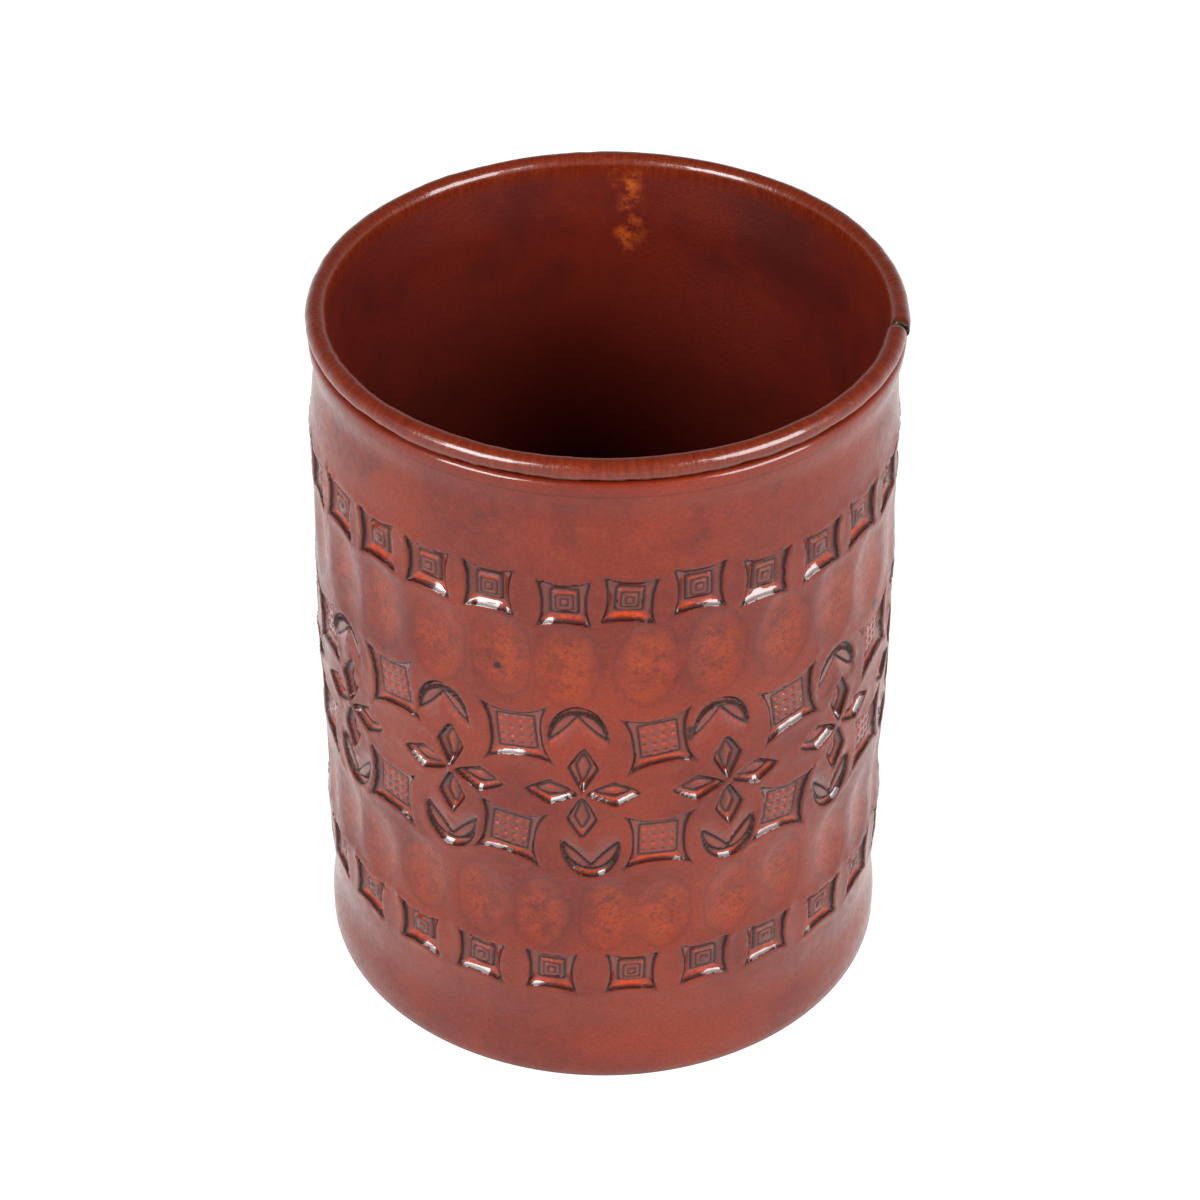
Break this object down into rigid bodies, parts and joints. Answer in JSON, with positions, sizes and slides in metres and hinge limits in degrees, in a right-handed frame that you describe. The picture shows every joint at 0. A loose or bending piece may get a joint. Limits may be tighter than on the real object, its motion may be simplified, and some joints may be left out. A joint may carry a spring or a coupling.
{
  "type": "leather dice cup",
  "caption": "Round leather dice cup with a stamped outer sleeve, a thin lining rolled over a cord at the rim, and a flat glued-in base.",
  "frame": {"origin": "middle of the sole's underside, on the surface that the cup stands on", "axes": "+Z along the cup's axis, out of its mouth; -Y is the front"},
  "size_m": [0.0776, 0.0776, 0.1],
  "materials": {
    "tooled_leather": "vegetable-tanned, stamped, antiqued red-brown and lacquered glossy",
    "lining_leather": "thin dyed skiver, smooth and glossy, orange-red where it rolls over the rim",
    "rim_cord": "twisted cotton cord, undyed",
    "floor_leather": "thin dyed skiver, smooth, satin",
    "pulpboard": "pressed grey-brown pulpboard, matt",
    "sole_leather": "plain firm leather, dyed brown, satin, cut edge burnished"
  },
  "bodies": {
    "root": {"outer_sleeve": "tooled_leather", "lining_sleeve": "lining_leather", "rim_core": "rim_cord", "floor_disc": "floor_leather", "base_board": "pulpboard", "sole_disc": "sole_leather"}
  },
  "joints": []
}
